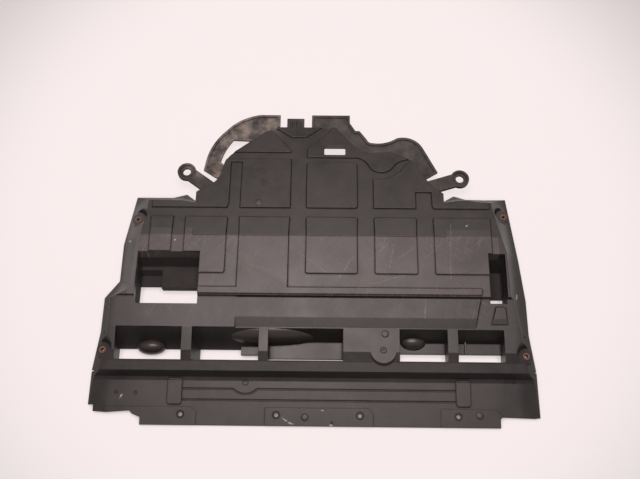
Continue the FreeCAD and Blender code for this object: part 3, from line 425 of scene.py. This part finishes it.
def make_scrape():
    """Mask of one wavering, broken scrape between two places on the panel."""
    tree, source, result = new_group("scrape", [
        ("Start", "NodeSocketVector", (0, 0, 0)),
        ("Run", "NodeSocketVector", (0.02, 0, 0)),
        ("Width", "NodeSocketFloat", 0.001),
    ], [("Mask", "NodeSocketFloat")])
    run = source["Run"]
    waves = add(tree, "ShaderNodeTexNoise", Vector=position_of(tree), Scale=WAVER_SCALE, Detail=2.0)
    wavering = calc_vector(tree, "MULTIPLY_ADD", waves.outputs["Color"], WAVER_REACH,
                           position_of(tree))
    level = calc_vector(tree, "MULTIPLY", wavering, (1, 1, 0))
    offset = calc_vector(tree, "SUBTRACT", level, source["Start"])
    share = calc(tree, "DIVIDE", calc_vector(tree, "DOT_PRODUCT", offset, run),
                 calc_vector(tree, "DOT_PRODUCT", run, run))
    share = calc(tree, "MINIMUM", calc(tree, "MAXIMUM", share, 0.0), 1.0)
    nearest = calc_vector(tree, "MULTIPLY", run, share)
    distance = calc_vector(tree, "LENGTH", calc_vector(tree, "SUBTRACT", offset, nearest))
    line = smooth_step(tree, distance, low=0.0, high=source["Width"], start=1.0, end=0.0)
    broken = smooth_step(tree, noise(tree, scale=GAP_SCALE, detail=2.0), low=0.35, high=0.6)
    connect(tree, result["Mask"], calc(tree, "MULTIPLY", line, broken))
    return tree


def make_ring_mark():
    """Mask of a thin ring round an upright axis."""
    tree, source, result = new_group("ring_mark", [
        ("Centre", "NodeSocketVector", (0, 0, 0)),
        ("Radius", "NodeSocketFloat", 0.007),
        ("Width", "NodeSocketFloat", 0.002),
    ], [("Mask", "NodeSocketFloat")])
    level = calc_vector(tree, "MULTIPLY", position_of(tree), (1, 1, 0))
    away = calc_vector(tree, "DISTANCE", level, source["Centre"])
    gap = calc(tree, "ABSOLUTE", calc(tree, "SUBTRACT", away, source["Radius"]))
    share = calc(tree, "DIVIDE", gap, source["Width"])
    connect(tree, result["Mask"], smooth_step(tree, share, low=0.35, high=1.0, start=1.0, end=0.0))
    return tree


def make_painted_crevice_shade():
    """Mask of painted shade: the dark lines where faces meet in a groove, found by an occlusion
    test.
    """
    tree, source, result = new_group("painted_crevice_shade", [
        ("Reach", "NodeSocketFloat", 0.004),
    ], [("Mask", "NodeSocketFloat")])
    openness = add(tree, "ShaderNodeAmbientOcclusion", {"samples": 8, "only_local": True},
                   Distance=source["Reach"])
    connect(tree, result["Mask"], smooth_step(tree, openness.outputs["AO"], low=0.97, high=0.66))
    return tree


def make_settled_dust():
    """Mask of dust that lies on upward faces and gathers in patches."""
    tree, source, result = new_group("settled_dust", [
        ("Amount", "NodeSocketFloat", 0.3),
        ("Scale", "NodeSocketFloat", 25.0),
    ], [("Mask", "NodeSocketFloat")])
    normal = add(tree, "ShaderNodeNewGeometry").outputs["Normal"]
    facing = add(tree, "ShaderNodeSeparateXYZ", Vector=normal).outputs["Z"]
    upward = smooth_step(tree, facing, low=0.1, high=0.9, start=0.35, end=1.0)
    patches = smooth_step(tree, noise(tree, scale=source["Scale"], detail=6.0, Roughness=0.65),
                          low=0.32, high=0.72)
    specks = smooth_step(tree, noise(tree, scale=1400.0, detail=2.0), low=0.35, high=0.65,
                         start=0.55, end=1.0)
    mask = calc(tree, "MULTIPLY", calc(tree, "MULTIPLY", patches, specks), upward)
    mask = calc(tree, "MULTIPLY", mask, source["Amount"])
    connect(tree, result["Mask"], calc(tree, "MINIMUM", mask, 1.0))
    return tree


def make_worn_and_highlit_edges():
    """Mask along convex and concave edges, for wear on the rubbed edges and a painted highlight
    along the fillets, and a normal that rounds them off.
    """
    tree, source, result = new_group("worn_and_highlit_edges", [
        ("Width", "NodeSocketFloat", 0.0012),
    ], [("Mask", "NodeSocketFloat"), ("Normal", "NodeSocketVector")])
    rounded = add(tree, "ShaderNodeBevel", {"samples": 6}, Radius=source["Width"]).outputs[0]
    normal = add(tree, "ShaderNodeNewGeometry").outputs["Normal"]
    bend = smooth_step(tree, calc_vector(tree, "DOT_PRODUCT", rounded, normal),
                       low=0.995, high=0.85)
    patchy = smooth_step(tree, noise(tree, scale=160.0, detail=4.0), low=0.4, high=0.62,
                         start=0.25, end=1.0)
    connect(tree, result["Mask"], calc(tree, "MULTIPLY", bend, patchy))
    connect(tree, result["Normal"], rounded)
    return tree


def make_rust():
    """Colour and height of rust in layers, and a mask of where it covers the metal."""
    tree, source, result = new_group("rust", [
        ("Cover", "NodeSocketFloat", 0.8),
        ("Scale", "NodeSocketFloat", 260.0),
    ], [("Color", "NodeSocketColor"), ("Mask", "NodeSocketFloat"), ("Height", "NodeSocketFloat")])
    flakes = noise(tree, scale=source["Scale"], detail=6.0, Roughness=0.7)
    color = mix_colors(tree, smooth_step(tree, flakes, low=0.35, high=0.65), RUST_DARK, RUST_LIGHT)
    bare = calc(tree, "SUBTRACT", 1.0, source["Cover"])
    mask = smooth_step(tree, flakes, low=bare, high=calc(tree, "ADD", bare, 0.2))
    connect(tree, result["Color"], color)
    connect(tree, result["Mask"], mask)
    connect(tree, result["Height"], flakes)
    return tree


# Finishes

def scratch_mask(tree, effects, zones):
    """Fine scratches: a few everywhere, many on the scuffed middle and the band before it."""
    few = use(tree, effects["scratches"], Density=SCRATCHES_EVERYWHERE, Scale=1.0)["Mask"]
    many = use(tree, effects["scratches"], Density=SCRATCHES_SCUFFED, Scale=1.0)["Mask"]
    band = calc(tree, "MULTIPLY", zones["band"], SCRATCHES_BAND)
    scratched = calc(tree, "MAXIMUM", zones["scuffed"], band)
    scratches = calc(tree, "MULTIPLY_ADD", many, scratched, few)
    return calc(tree, "MINIMUM", scratches, 1.0)


def haze_mask(tree, zones, dust_and_painted_light_everywhere):
    """Pale haze: in swirls on the scuffed middle, and even at the lip, plus an even share all over
    that is partly dust and partly painted light.
    """
    swirls = noise(tree, scale=7.0, detail=6.0, Roughness=0.62, Distortion=1.6)
    clearest, palest = HAZE_SCUFFED
    uneven = smooth_step(tree, swirls, low=0.32, high=0.68, start=clearest, end=palest)
    at_lip = calc(tree, "MULTIPLY", zones["lip"], HAZE_LIP)
    haze = calc(tree, "MULTIPLY_ADD", zones["scuffed"], uneven, at_lip)
    return calc(tree, "ADD", haze, dust_and_painted_light_everywhere)


def mark_mask(tree, effects, marks, strength):
    """The scrapes or flecks of one table."""
    lines = largest(tree, [
        use(tree, effects["scrape"], Start=(*start, 0), Width=width,
            Run=(end[0] - start[0], end[1] - start[1], 0))["Mask"]
        for start, end, width in marks])
    return calc(tree, "MULTIPLY", lines, strength)


def marks_and_painted_shade_mask(tree, effects):
    """Painted shade: dark rings round the fixing places, with the ejector marks, and dark lines in
    the grooves.
    """
    rings = largest(tree, [
        use(tree, effects["ring_mark"], Centre=(*centre, 0), Radius=radius, Width=width)["Mask"]
        for centre, radius, width in RINGS])
    painted_crevice_shade = use(tree, effects["painted_crevice_shade"], Reach=PAINTED_CREVICE_SHADE_REACH)["Mask"]
    return largest(tree, [calc(tree, "MULTIPLY", rings, RING_STRENGTH),
                          calc(tree, "MULTIPLY", painted_crevice_shade, PAINTED_CREVICE_SHADE_STRENGTH)])


def dust_mask(tree, effects, zones):
    """Settled dust, as thick as each zone has it."""
    places = [calc(tree, "MULTIPLY", zones[name], share) for name, share in DUSTY_ZONES.items()]
    dust = use(tree, effects["settled_dust"], Amount=1.1, Scale=30.0)["Mask"]
    return calc(tree, "MULTIPLY", dust, largest(tree, [*places, DUST_EVERYWHERE]))


def make_plastic(effects, name, dust_and_painted_light_everywhere, roughness_change):
    """Satin black moulding: scuffed in the middle, dusty at the rear and at the lips, with painted
    shade in its grooves and rings, and pale edges that are partly wear and partly painted highlight.
    """
    material, tree, shader = new_material(name)
    zones = {
        zone: use(tree, effects["soft_place"], Centre=centre, Reach=reach, Fade=fade)["Mask"]
        for zone, (centre, reach, fade) in ZONES.items()
    }
    clouds = noise(tree, scale=9.0, detail=5.0, Roughness=0.6)
    scratches = scratch_mask(tree, effects, zones)
    # Painted shade in the grooves and round the fixing places, laid into the colour and made rougher
    marks_and_painted_shade = marks_and_painted_shade_mask(tree, effects)
    edges = use(tree, effects["worn_and_highlit_edges"], Width=PLASTIC_EDGE)
    dusty = dust_mask(tree, effects, zones)

    color = mix_colors(tree, smooth_step(tree, clouds, low=0.3, high=0.7), PLASTIC_DARK,
                       PLASTIC_PALE)
    for amount, cover in (
        (haze_mask(tree, zones, dust_and_painted_light_everywhere), PLASTIC_WORN),
        (calc(tree, "MULTIPLY", scratches, SCRATCH_STRENGTH), SCRATCH_COLOR),
        (mark_mask(tree, effects, SCRAPES, SCRAPE_STRENGTH), SCRAPE_COLOR),
        (mark_mask(tree, effects, FLECKS, FLECK_STRENGTH), FLECK_COLOR),
        # Painted shade of the grooves and of the rings round the fixing places, with the ejector
        # marks
        (marks_and_painted_shade, DARK_MARK_AND_PAINTED_SHADE_COLOR),
        # Pale edges: wear on the rubbed edges and painted highlight along the fillets
        (calc(tree, "MULTIPLY", edges["Mask"], EDGE_WEAR_AND_HIGHLIGHT_STRENGTH), EDGE_WEAR_AND_HIGHLIGHT_COLOR),
        (dusty, DUST_COLOR),
    ):
        color = mix_colors(tree, amount, color, cover)
    connect(tree, shader.inputs["Base Color"], color)

    smoothest, roughest = (end + roughness_change for end in PLASTIC_ROUGHNESS)
    roughness = smooth_step(tree, clouds, low=0.3, high=0.7, start=smoothest, end=roughest)
    outside = smooth_step(tree, zones["inner"], low=0.0, high=1.0, start=ROUGHER_OUTSIDE, end=0.0)
    roughness = calc(tree, "ADD", roughness, outside)
    pockets = largest(tree, [zones["left_pocket"], zones["right_pocket"]])
    for mask, rougher in (
        (pockets, ROUGHER_POCKETS),
        (zones["flange_rear"], ROUGHER_FLANGES),
        (marks_and_painted_shade, ROUGHER_MARKS_AND_PAINTED_SHADE),
        (dusty, ROUGHER_DUST),
        (scratches, ROUGHER_SCRATCHES),
    ):
        roughness = calc(tree, "MULTIPLY_ADD", mask, rougher, roughness)
    connect(tree, shader.inputs["Roughness"], roughness)
    shader.inputs["IOR"].default_value = PLASTIC_IOR

    grain = use(tree, effects["fine_grain"], Scale=PLASTIC_GRAIN)["Height"]
    height = calc(tree, "MULTIPLY_ADD", scratches, SCRATCH_DEPTH, grain)
    bump = add(tree, "ShaderNodeBump", Height=height, Strength=PLASTIC_BUMP,
               Distance=PLASTIC_BUMP_HEIGHT, Normal=edges["Normal"])
    connect(tree, shader.inputs["Normal"], bump.outputs[0])
    return material


def make_steel(effects):
    """Steel insert, rusted nearly all over."""
    material, tree, shader = new_material("rusted_steel")
    rust = use(tree, effects["rust"], Cover=RUST_COVER, Scale=RUST_FLAKES)
    edges = use(tree, effects["worn_and_highlit_edges"], Width=STEEL_EDGE)
    color = mix_colors(tree, rust["Mask"], STEEL_COLOR, rust["Color"])
    # Paler rust on the edges: partly wear and partly painted highlight
    worn_and_highlit = calc(tree, "MULTIPLY", edges["Mask"], STEEL_EDGE_STRENGTH)
    color = mix_colors(tree, worn_and_highlit, color, RUST_LIGHT)
    connect(tree, shader.inputs["Base Color"], color)
    connect(tree, shader.inputs["Metallic"], calc(tree, "SUBTRACT", 1.0, rust["Mask"]))
    roughness = calc(tree, "MULTIPLY_ADD", rust["Mask"], ROUGHER_RUST, STEEL_ROUGHNESS)
    connect(tree, shader.inputs["Roughness"], roughness)
    grain = use(tree, effects["fine_grain"], Scale=STEEL_GRAIN)["Height"]
    height = calc(tree, "ADD", grain, rust["Height"])
    bump = add(tree, "ShaderNodeBump", Height=height, Strength=STEEL_BUMP,
               Distance=STEEL_BUMP_HEIGHT, Normal=edges["Normal"])
    connect(tree, shader.inputs["Normal"], bump.outputs[0])
    return material


# Forms on the moulding

def new_piece(name, mesh, finish, smooth=True):
    """Piece that belongs to the moulding, in one of its finishes."""
    for face in mesh.faces:
        face.smooth = smooth
    data = bpy.data.meshes.new(name)
    mesh.to_mesh(data)
    mesh.free()
    data.materials.append(finish)
    piece = bpy.data.objects.new(name, data)
    bpy.context.scene.collection.objects.link(piece)
    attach(piece, "root")


def make_bulge(name, centre, radii, lowest, rearmost, finish):
    """Smooth rounded form, cut level below and upright behind where it meets the walls."""
    mesh = bmesh.new()
    bmesh.ops.create_uvsphere(mesh, u_segments=2 * BULGE_RINGS, v_segments=BULGE_RINGS, radius=1.0)
    bmesh.ops.scale(mesh, vec=radii, verts=mesh.verts)
    bmesh.ops.translate(mesh, vec=centre, verts=mesh.verts)
    cuts = [((0, 0, lowest), DOWN)]
    if rearmost is not None:
        cuts.append(((0, rearmost, 0), REARWARD))
    for place, outward in cuts:
        parts = mesh.verts[:] + mesh.edges[:] + mesh.faces[:]
        cut = bmesh.ops.bisect_plane(mesh, geom=parts, plane_co=place, plane_no=outward,
                                     clear_outer=True)
        rim = [edge for edge in cut["geom_cut"] if isinstance(edge, bmesh.types.BMEdge)]
        bmesh.ops.contextual_create(mesh, geom=rim)
    new_piece(name, mesh, finish)


def height_at(x, y):
    """Height of the moulding's upper surface at a place."""
    depsgraph = bpy.context.evaluated_depsgraph_get()
    hit, place, *_ = bpy.context.scene.ray_cast(depsgraph, (x, y, ABOVE_ALL), DOWN)
    return place.z if hit else 0.0


def make_stud(name, place, radius, height, finish):
    """Low rounded stud that stands on the surface."""
    base = height_at(*place)
    mesh = bmesh.new()
    levels = [(share, rise * height) for share, rise in STUD_CROWN] + [(1.0, STUD_FOOT)]
    turns = [side * math.tau / STUD_SIDES for side in range(STUD_SIDES)]
    rings = [[mesh.verts.new((place[0] + share * radius * math.cos(turn),
                              place[1] + share * radius * math.sin(turn),
                              base + rise)) for turn in turns] for share, rise in levels]
    mesh.faces.new(rings[0])
    for upper, lower in zip(rings, rings[1:]):
        for side in range(STUD_SIDES):
            after = (side + 1) % STUD_SIDES
            mesh.faces.new((upper[side], lower[side], lower[after], upper[after]))
    mesh.faces.new(rings[-1][::-1])
    new_piece(name, mesh, finish)


def make_pin_bottom(name, place, depth, finish):
    """Plain disc that closes a pin mark a little below the surface beside it."""
    top = height_at(place[0] + 2 * PIN_RADIUS, place[1]) - depth
    mesh = bmesh.new()
    bmesh.ops.create_circle(mesh, cap_ends=True, segments=PIN_SIDES, radius=PIN_RADIUS)
    bmesh.ops.translate(mesh, vec=(*place, top), verts=mesh.verts)
    new_piece(name, mesh, finish)


def make_vent_rib(name, corner, size, finish):
    """Low straight rib with sharp edges."""
    mesh = bmesh.new()
    bmesh.ops.create_cube(mesh, size=1.0)
    bmesh.ops.scale(mesh, vec=size, verts=mesh.verts)
    middle = [low + span / 2 for low, span in zip(corner, size)]
    bmesh.ops.translate(mesh, vec=middle, verts=mesh.verts)
    new_piece(name, mesh, finish, smooth=False)


def make_forms(finish, vent_finish):
    """The small forms that the moulding's solid lacks."""
    for number, (place, radius, height) in enumerate(STUDS, 1):
        make_stud(f"surface_stud_{number}", place, radius, height, finish)
    for number, (place, depth) in enumerate(PIN_BOTTOMS, 1):
        make_pin_bottom(f"pin_bottom_{number}", place, depth, finish)
    make_vent_rib("vent_rib", *VENT_RIB, vent_finish)
    for name, values in BULGES.items():
        make_bulge(name, *values, vent_finish)


# Studio

def make_floor():
    """Large pale floor that keeps the part's shadow."""
    bpy.ops.mesh.primitive_plane_add(size=2 * FLOOR_HALF, location=(0, 0, 0))
    floor = bpy.context.object
    floor.name = "studio_floor"
    material, tree, shader = new_material("studio_floor")
    # Painted fall-off of light: the floor's colour darkens away from its middle
    away = calc_vector(tree, "DISTANCE", position_of(tree), FLOOR_MIDDLE)
    far = smooth_step(tree, away, low=FLOOR_NEAR, high=FLOOR_FAR)
    color = mix_colors(tree, far, FLOOR_COLOR, FLOOR_FAR_PAINTED_SHADE_COLOR)
    contact = add(tree, "ShaderNodeAmbientOcclusion", {"samples": 8}, Distance=CONTACT_REACH)
    open_share = smooth_step(tree, contact.outputs["AO"], low=0.0, high=0.95, start=CONTACT_DARK,
                             end=1.0)
    color = mix_colors(tree, open_share, BLACK, color)
    shader.inputs["Roughness"].default_value = FLOOR_ROUGHNESS
    path = add(tree, "ShaderNodeLightPath").outputs
    seen = largest(tree, [path["Is Camera Ray"], path["Is Glossy Ray"],
                          path["Is Transmission Ray"]])
    lit = mix_colors(tree, calc(tree, "MULTIPLY", seen, FLOOR_UNLIT), color, BLACK)
    connect(tree, shader.inputs["Base Color"], lit)
    connect(tree, shader.inputs["Emission Color"], color)
    connect(tree, shader.inputs["Emission Strength"], calc(tree, "MULTIPLY", seen, FLOOR_GLOW))
    floor.data.materials.append(material)


def make_light():
    """Even sky, and a large soft box aimed at the part from overhead."""
    world = bpy.data.worlds.new("studio")
    bpy.context.scene.world = world
    world.use_nodes = True
    sky = world.node_tree.nodes["Background"]
    sky.inputs["Color"].default_value = SKY_COLOR
    sky.inputs["Strength"].default_value = SKY_LEVEL
    data = bpy.data.lights.new("overhead_box", "AREA")
    data.shape = "RECTANGLE"
    data.size = LAMP_WIDTH
    data.size_y = LAMP_DEPTH
    data.energy = LAMP_POWER
    data.color = LAMP_COLOR
    lamp = bpy.data.objects.new("overhead_box", data)
    lamp.location = LAMP_PLACE
    towards = Vector(LAMP_AIM) - Vector(LAMP_PLACE)
    lamp.rotation_euler = towards.to_track_quat("-Z", "Y").to_euler()
    bpy.context.scene.collection.objects.link(lamp)


def make_camera():
    """Camera that looks steeply down on the part from before its front lip."""
    data = bpy.data.cameras.new("camera")
    data.sensor_fit = "HORIZONTAL"
    data.sensor_width = CAMERA_SENSOR
    data.lens = CAMERA_LENS
    camera = bpy.data.objects.new("camera", data)
    bpy.context.scene.collection.objects.link(camera)
    turn = Matrix.Rotation(math.radians(CAMERA_HEADING), 4, "Z")
    tip = Matrix.Rotation(math.radians(90 - CAMERA_DOWN), 4, "X")
    roll = Matrix.Rotation(math.radians(CAMERA_ROLL), 4, "Z")
    camera.matrix_world = Matrix.Translation(CAMERA_PLACE) @ turn @ tip @ roll
    bpy.context.scene.camera = camera


# Making the scene

bpy.context.scene.view_settings.view_transform = "Standard"

effects = {
    "soft_place": make_soft_place(),
    "fine_grain": make_fine_grain(),
    "scratches": make_scratches(),
    "scrape": make_scrape(),
    "ring_mark": make_ring_mark(),
    "painted_crevice_shade": make_painted_crevice_shade(),
    "settled_dust": make_settled_dust(),
    "worn_and_highlit_edges": make_worn_and_highlit_edges(),
    "rust": make_rust(),
}
plastics = {name: make_plastic(effects, name, *changes) for name, changes in PLASTICS.items()}
steel = make_steel(effects)
for name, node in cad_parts.items():
    for slot in node.material_slots:
        slot.material = plastics["moulded_plastic"] if name == "guard_shell" else steel

# The pieces in the vents take the paler finish, partly dust and partly painted light for their shade
make_forms(plastics["moulded_plastic"], plastics["vent_plastic_painted_light"])
make_floor()
make_light()
make_camera()
